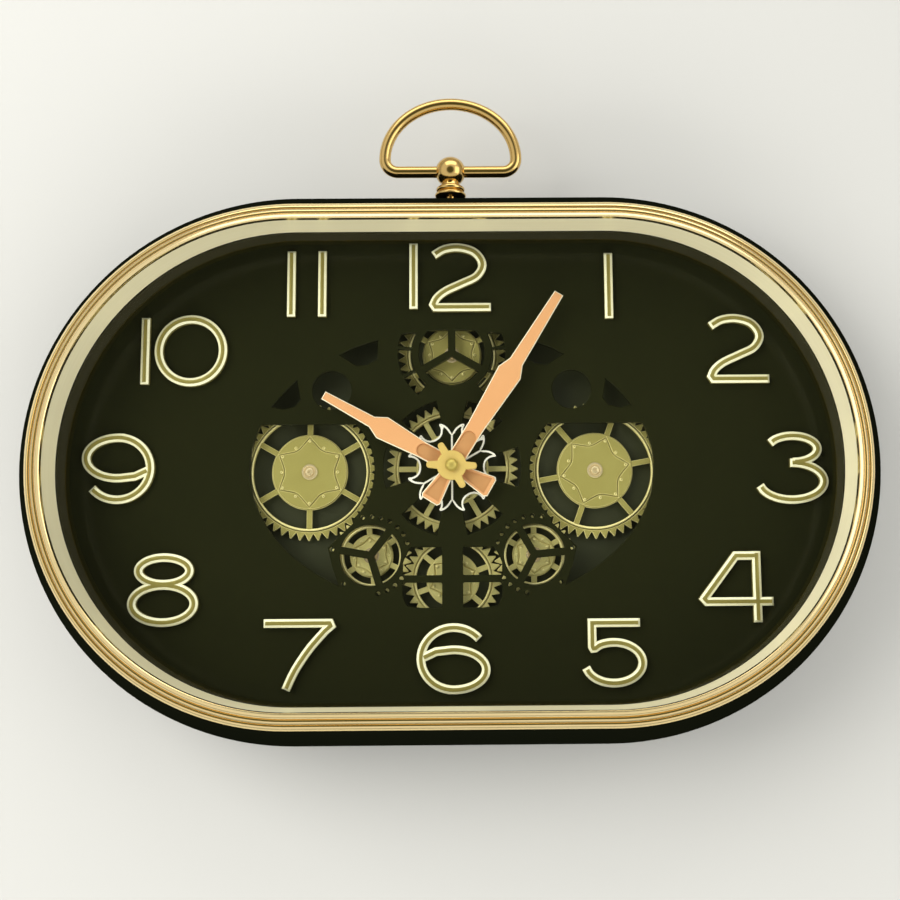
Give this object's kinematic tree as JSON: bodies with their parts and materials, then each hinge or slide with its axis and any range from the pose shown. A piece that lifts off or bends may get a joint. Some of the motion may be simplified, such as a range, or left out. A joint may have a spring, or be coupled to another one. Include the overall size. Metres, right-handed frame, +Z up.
{
  "type": "wall clock",
  "caption": "Oval wall clock with a deep gold-rimmed case, raised numerals and a turning gear train behind a skeleton dial, under a swinging bow.",
  "frame": {"origin": "on the wall plane, behind the arbor of the hands", "axes": "+Z up, +X to the right of someone who faces the dial, -Y out of the wall towards that person"},
  "size_m": [0.4468, 0.0769, 0.3426],
  "materials": {
    "black_gloss": "high gloss black moulding",
    "black_satin": "satin black moulding",
    "gold": "bright pale gold plating",
    "champagne": "satin champagne plating on a moulded wall",
    "glass": "clear flat glass",
    "rose_gold": "satin rose gold",
    "cream_gold": "satin cream gold",
    "brass": "polished brass",
    "olive_gold": "satin olive gold plating on moulded gears",
    "ivory": "plain moulded case",
    "cell_sleeve": "plain unmarked sleeve",
    "steel": "zinc plated steel"
  },
  "bodies": {
    "clock": {"case_body": "black_gloss", "dial_spacer": "black_gloss", "dial_plate": "black_gloss", "center_rosette": "black_gloss", "back_cover": "black_satin", "gear_plate": "black_satin", "gold_bezel": "gold", "bow_post": "gold", "numeral_12_ten": "gold", "numeral_12_unit": "gold", "numeral_1": "gold", "numeral_2": "gold", "numeral_3": "gold", "numeral_4": "gold", "numeral_5": "gold", "numeral_6": "gold", "numeral_7": "gold", "numeral_8": "gold", "numeral_9": "gold", "numeral_10_ten": "gold", "numeral_10_unit": "gold", "numeral_11_ten": "gold", "numeral_11_unit": "gold", "champagne_wall": "champagne", "front_glass": "glass", "neck_nut": "brass", "top_post": "brass", "lower_left_post": "brass", "lower_right_post": "brass", "left_post": "brass", "right_post": "brass", "movement_case": "ivory", "gear_motor": "ivory", "clock_cell": "cell_sleeve", "gear_cell": "cell_sleeve", "hanger_plate": "steel", "cover_screw_1": "steel", "cover_screw_2": "steel", "cover_screw_3": "steel", "cover_screw_4": "steel", "hanger_screw_left": "steel", "hanger_screw_right": "steel"},
    "minute": {"minute_hand": "rose_gold", "hand_star": "cream_gold", "cap_nut": "brass", "minute_arbor": "brass"},
    "hour": {"hour_hand": "rose_gold", "hour_pipe": "brass"},
    "set_knob": {"set_knob": "black_satin"},
    "center_gear": {"center_gear": "olive_gold"},
    "top_gear": {"top_gear": "olive_gold"},
    "bottom_gear": {"bottom_gear": "olive_gold", "motor_shaft": "brass"},
    "lower_left_gear": {"lower_left_gear": "olive_gold"},
    "lower_right_gear": {"lower_right_gear": "olive_gold"},
    "left_gear": {"left_gear": "olive_gold"},
    "right_gear": {"right_gear": "olive_gold"},
    "bow": {"bow_ring": "gold"}
  },
  "joints": [
    {"name": "minute_spin", "type": "hinge", "parent": "clock", "child": "minute", "pos_m": [0, -0.0441, 0], "axis": [0, 1, 0], "continuous": true},
    {"name": "hour_spin", "type": "hinge", "parent": "clock", "child": "hour", "pos_m": [0, -0.0415, 0], "axis": [0, 1, 0], "continuous": true},
    {"name": "knob_spin", "type": "hinge", "parent": "clock", "child": "set_knob", "pos_m": [-0.015, -0.003, 0.015], "axis": [0, 1, 0], "continuous": true},
    {"name": "left_gear_spin", "type": "hinge", "parent": "clock", "child": "left_gear", "pos_m": [-0.07628, -0.0269, -0.00128], "axis": [0, 1, 0], "continuous": true},
    {"name": "right_gear_spin", "type": "hinge", "parent": "clock", "child": "right_gear", "pos_m": [0.07628, -0.0269, -0.00128], "axis": [0, 1, 0], "continuous": true},
    {"name": "lower_left_gear_spin", "type": "hinge", "parent": "clock", "child": "lower_left_gear", "pos_m": [-0.0431, -0.0269, -0.04613], "axis": [0, 1, 0], "continuous": true},
    {"name": "lower_right_gear_spin", "type": "hinge", "parent": "clock", "child": "lower_right_gear", "pos_m": [0.0431, -0.0269, -0.04613], "axis": [0, 1, 0], "continuous": true},
    {"name": "bottom_gear_spin", "type": "hinge", "parent": "clock", "child": "bottom_gear", "pos_m": [0, -0.0269, -0.0589], "axis": [0, 1, 0], "continuous": true},
    {"name": "center_gear_spin", "type": "hinge", "parent": "clock", "child": "center_gear", "pos_m": [0, -0.0269, 0], "axis": [0, 1, 0], "continuous": true},
    {"name": "top_gear_spin", "type": "hinge", "parent": "clock", "child": "top_gear", "pos_m": [0, -0.0269, 0.062], "axis": [0, 1, 0], "continuous": true},
    {"name": "bow_swing", "type": "hinge", "parent": "clock", "child": "bow", "pos_m": [0, -0.0472, 0.1581], "axis": [1, 0, 0], "range_deg": [-100, 120]}
  ],
  "couplings": [
    {"joint": "hour_spin", "follows": "minute_spin", "ratio": 0.083333},
    {"joint": "knob_spin", "follows": "minute_spin", "ratio": -0.33333},
    {"joint": "right_gear_spin", "follows": "left_gear_spin", "ratio": 1},
    {"joint": "lower_left_gear_spin", "follows": "left_gear_spin", "ratio": -1.7692},
    {"joint": "lower_right_gear_spin", "follows": "left_gear_spin", "ratio": -1.7692},
    {"joint": "bottom_gear_spin", "follows": "left_gear_spin", "ratio": 1.4375},
    {"joint": "center_gear_spin", "follows": "left_gear_spin", "ratio": -1.0455},
    {"joint": "top_gear_spin", "follows": "left_gear_spin", "ratio": 1.2778}
  ]
}
